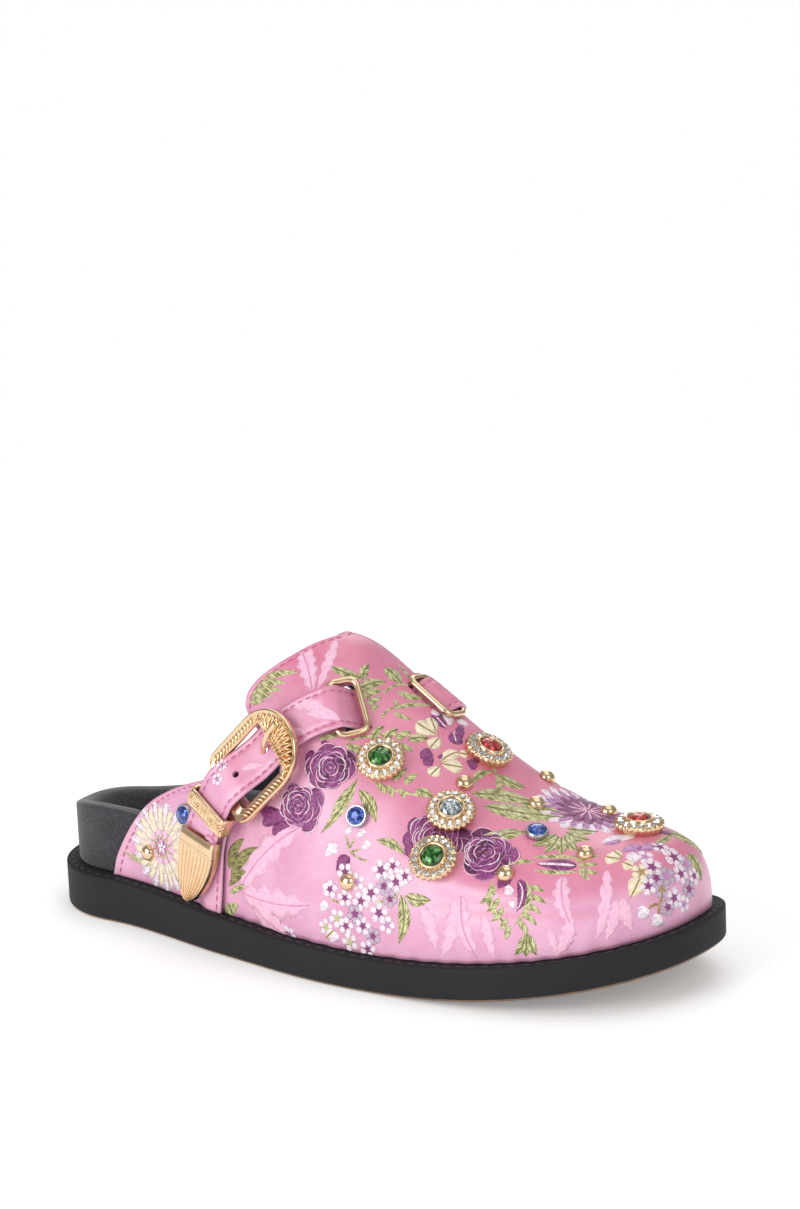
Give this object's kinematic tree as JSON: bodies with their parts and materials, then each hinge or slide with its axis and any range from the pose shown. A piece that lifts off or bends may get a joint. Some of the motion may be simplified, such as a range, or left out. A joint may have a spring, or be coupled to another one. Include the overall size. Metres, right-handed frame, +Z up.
{
  "type": "clog shoe",
  "caption": "Closed-toe slip-on clog with a hollow brocade upper, raised heel cup footbed, thick flat sole and a buckled instep strap set with stones and studs",
  "frame": {"origin": "on the ground under the centre of the shoe's bounding box", "axes": "+X to the toe, +Y to the medial side, +Z up"},
  "size_m": [0.262, 0.0982, 0.1076],
  "materials": {
    "sole_rubber": "matt dark grey moulded sole",
    "black_suede": "black suede",
    "pink_brocade": "pink satin brocade with woven flowers",
    "gold_metal": "polished pale gold plating",
    "silver_metal": "polished silver plating",
    "green_glass": "faceted green glass",
    "clear_glass": "faceted clear glass",
    "red_glass": "faceted red glass",
    "blue_glass": "faceted blue glass"
  },
  "bodies": {
    "root": {"outsole": "sole_rubber", "footbed": "black_suede", "upper_vamp": "pink_brocade", "upper_quarter_lateral": "pink_brocade", "upper_quarter_medial": "pink_brocade", "strap": "pink_brocade", "ring_lateral": "gold_metal", "ring_medial": "gold_metal", "buckle": "gold_metal", "prong": "gold_metal", "keeper": "gold_metal", "strap_tip": "gold_metal", "brooch_1": "gold_metal", "gem_1": "green_glass", "brooch_2": "gold_metal", "gem_2": "clear_glass", "brooch_3": "gold_metal", "gem_3": "green_glass", "brooch_4": "gold_metal", "gem_4": "red_glass", "brooch_5": "gold_metal", "gem_5": "red_glass", "stone_setting_1": "silver_metal", "stone_1": "blue_glass", "stone_setting_2": "silver_metal", "stone_2": "blue_glass", "stone_setting_3": "silver_metal", "stone_3": "blue_glass", "stud_1": "gold_metal", "stud_2": "gold_metal", "stud_3": "gold_metal", "stud_4": "gold_metal", "stud_5": "gold_metal", "stud_6": "gold_metal", "stud_7": "gold_metal", "stud_8": "gold_metal"}
  },
  "joints": []
}
